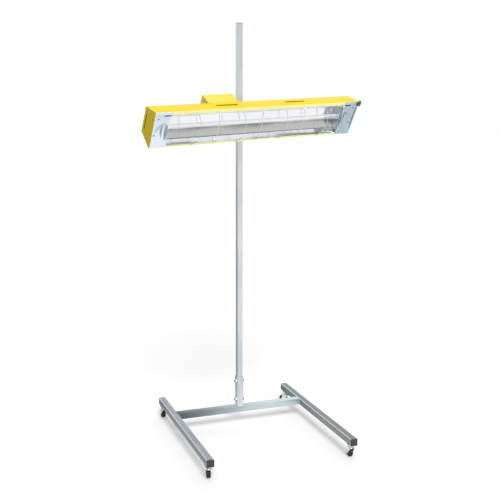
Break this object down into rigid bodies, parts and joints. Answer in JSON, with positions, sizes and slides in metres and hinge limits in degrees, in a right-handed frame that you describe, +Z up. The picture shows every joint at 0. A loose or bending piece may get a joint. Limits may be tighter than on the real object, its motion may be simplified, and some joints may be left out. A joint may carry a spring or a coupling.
{
  "type": "infrared curing lamp",
  "caption": "Long infrared lamp head with a wire guard, on a sliding, levelling, swivelling and tilting mount on a square mast with an H-shaped castor base.",
  "frame": {"origin": "on the floor plane, on the axis of the square mast", "axes": "+Z up along the mast, the lamp head's length and the cross tube run along X, the lamp shines towards -Y"},
  "size_m": [0.9854, 0.7622, 1.78],
  "materials": {
    "zinc_steel": "galvanised, dull blue-grey",
    "plated_steel": "bright zinc plated",
    "dark_plastic": "moulded, dark grey",
    "black_plastic": "moulded, satin black",
    "black_tread": "matte black",
    "nylon": "natural white",
    "yellow_paint": "powder coated, satin yellow",
    "polished_aluminium": "polished",
    "bright_wire": "bright drawn wire",
    "quartz": "clear",
    "tungsten": "drawn, dull",
    "ceramic": "unglazed ceramic, off-white",
    "lead_sleeve": "woven glass sleeve"
  },
  "bodies": {
    "base": {"left_leg": "zinc_steel", "right_leg": "zinc_steel", "cross_tube": "zinc_steel", "mast_socket": "zinc_steel", "leg_caps": "dark_plastic", "socket_bolts": "plated_steel", "socket_nuts": "plated_steel", "mast": "zinc_steel", "mast_cap": "dark_plastic", "castor_stems": "plated_steel"},
    "front_left_castor": {"front_left_fork": "plated_steel", "front_left_axle": "plated_steel"},
    "front_left_roller": {"front_left_wheel": "black_tread"},
    "front_right_castor": {"front_right_fork": "plated_steel", "front_right_axle": "plated_steel"},
    "front_right_roller": {"front_right_wheel": "black_tread"},
    "rear_left_castor": {"rear_left_fork": "plated_steel", "rear_left_axle": "plated_steel"},
    "rear_left_roller": {"rear_left_wheel": "black_tread"},
    "rear_right_castor": {"rear_right_fork": "plated_steel", "rear_right_axle": "plated_steel"},
    "rear_right_roller": {"rear_right_wheel": "black_tread"},
    "carriage": {"carriage_sleeve": "zinc_steel", "carriage_plate": "zinc_steel", "level_stud": "plated_steel", "level_washers": "dark_plastic", "level_nut": "plated_steel", "clamp_boss": "zinc_steel"},
    "height_clamp": {"clamp_screw": "plated_steel", "clamp_knob": "black_plastic"},
    "level_yoke": {"yoke": "plated_steel", "swivel_bolt": "plated_steel", "swivel_nut": "plated_steel", "swivel_washers": "nylon"},
    "swivel": {"swivel_block": "plated_steel"},
    "head": {"head_bracket": "plated_steel", "bracket_bolts": "plated_steel", "tilt_bolt": "plated_steel", "tilt_washers": "nylon", "casing": "yellow_paint", "end_plate_left": "yellow_paint", "end_plate_right": "yellow_paint", "sheet_screws": "plated_steel", "corner_buffer": "dark_plastic", "reflector": "polished_aluminium", "end_reflector_left": "polished_aluminium", "end_reflector_right": "polished_aluminium", "guard_wires": "bright_wire", "lamp_tube": "quartz", "lamp_filament": "tungsten", "lamp_caps": "ceramic", "lamp_brackets": "polished_aluminium", "lamp_leads": "lead_sleeve", "terminal_box": "yellow_paint", "terminal_block": "ceramic", "cable_gland": "black_plastic", "gland_nut": "black_plastic", "switch_body": "black_plastic"},
    "tilt_handle": {"tilt_knob": "black_plastic"},
    "rocker": {"switch_rocker": "black_plastic"}
  },
  "joints": [
    {"name": "front_left_swivel", "type": "hinge", "parent": "base", "child": "front_left_castor", "pos_m": [-0.3075, -0.515, 0.048], "axis": [0, 0, 1], "continuous": true},
    {"name": "front_left_roll", "type": "hinge", "parent": "front_left_castor", "child": "front_left_roller", "pos_m": [-0.3034, -0.50372, 0.02], "axis": [-0.9397, 0.342, 0], "continuous": true},
    {"name": "front_right_swivel", "type": "hinge", "parent": "base", "child": "front_right_castor", "pos_m": [0.3075, -0.515, 0.048], "axis": [0, 0, 1], "continuous": true},
    {"name": "front_right_roll", "type": "hinge", "parent": "front_right_castor", "child": "front_right_roller", "pos_m": [0.30917, -0.50312, 0.02], "axis": [-0.9903, 0.1392, 0], "continuous": true},
    {"name": "rear_left_swivel", "type": "hinge", "parent": "base", "child": "rear_left_castor", "pos_m": [-0.3075, 0.185, 0.048], "axis": [0, 0, 1], "continuous": true},
    {"name": "rear_left_roll", "type": "hinge", "parent": "rear_left_castor", "child": "rear_left_roller", "pos_m": [-0.30792, 0.19699, 0.02], "axis": [-0.9994, -0.0349, 0], "continuous": true},
    {"name": "rear_right_swivel", "type": "hinge", "parent": "base", "child": "rear_right_castor", "pos_m": [0.3075, 0.185, 0.048], "axis": [0, 0, 1], "continuous": true},
    {"name": "rear_right_roll", "type": "hinge", "parent": "rear_right_castor", "child": "rear_right_roller", "pos_m": [0.29979, 0.19419, 0.02], "axis": [-0.766, -0.6428, 0], "continuous": true},
    {"name": "height_slide", "type": "slide", "parent": "base", "child": "carriage", "axis": [0, 0, 1], "range_m": [-0.9, 0.3]},
    {"name": "height_clamp_turn", "type": "hinge", "parent": "carriage", "child": "height_clamp", "pos_m": [0, 0.032, 1.345], "axis": [0, 1, 0], "range_deg": [0, 360]},
    {"name": "head_level", "type": "hinge", "parent": "carriage", "child": "level_yoke", "pos_m": [0, -0.025, 1.424], "axis": [0, -1, 0], "range_deg": [-18, 12]},
    {"name": "head_swivel", "type": "hinge", "parent": "level_yoke", "child": "swivel", "pos_m": [0, -0.058, 1.424], "axis": [-0.0523, 0, 0.9986], "range_deg": [-40.5, 19.5]},
    {"name": "head_tilt", "type": "hinge", "parent": "swivel", "child": "head", "pos_m": [0.00473, -0.08357, 1.42425], "axis": [0.9819, 0.1822, 0.0515], "range_deg": [-33.3, 31.7]},
    {"name": "tilt_knob_turn", "type": "hinge", "parent": "head", "child": "tilt_handle", "pos_m": [0.0283, -0.07919, 1.42548], "axis": [0.9819, 0.1822, 0.0515], "range_deg": [0, 360]},
    {"name": "switch_throw", "type": "hinge", "parent": "head", "child": "rocker", "pos_m": [-0.15629, -0.09891, 1.44182], "axis": [0.9819, 0.1822, 0.0515], "range_deg": [-18, 0]}
  ]
}
